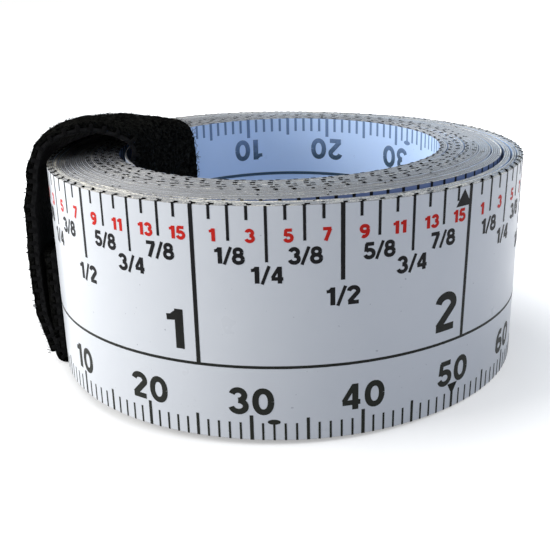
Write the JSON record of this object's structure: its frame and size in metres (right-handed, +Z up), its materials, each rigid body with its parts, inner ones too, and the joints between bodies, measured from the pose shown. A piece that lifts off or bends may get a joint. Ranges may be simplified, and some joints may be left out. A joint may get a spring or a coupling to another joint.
{
  "type": "coiled tape measure",
  "caption": "Bare printed steel measuring tape wound into an open coil, held round its wall by a hook-and-loop strap with a flap that peels open.",
  "frame": {"origin": "middle of the overall box, on the floor", "axes": "+Z up; the strap is on the -X side; the coil's axis leans 1.57 degrees from +Z towards +X, because the strap passes under the coil"},
  "size_m": [0.0524, 0.0491, 0.0247],
  "materials": {
    "tape_lacquer": "satin white lacquer on spring steel, with black and red printed scales",
    "strap_pile": "black fuzzy loop pile",
    "strap_hooks": "black woven tape with hooks",
    "strap_thread": "black thread"
  },
  "bodies": {
    "coil": {"tape_blade": "tape_lacquer"},
    "strap_band": {"hook_strip_band": "strap_hooks", "pile_strip_band": "strap_pile", "edge_stitching_band": "strap_thread"},
    "strap_flap": {"hook_strip_flap": "strap_hooks", "pile_strip_flap": "strap_pile", "edge_stitching_flap": "strap_thread"}
  },
  "joints": [
    {"name": "strap_slide", "type": "hinge", "parent": "coil", "child": "strap_band", "pos_m": [0.001, 0, 0.00067], "axis": [0.0273, 0, 0.9996], "continuous": true},
    {"name": "flap_peel", "type": "hinge", "parent": "strap_band", "child": "strap_flap", "pos_m": [-0.02564, 0, 0.02137], "axis": [0, 1, 0], "range_deg": [0, 170]}
  ]
}
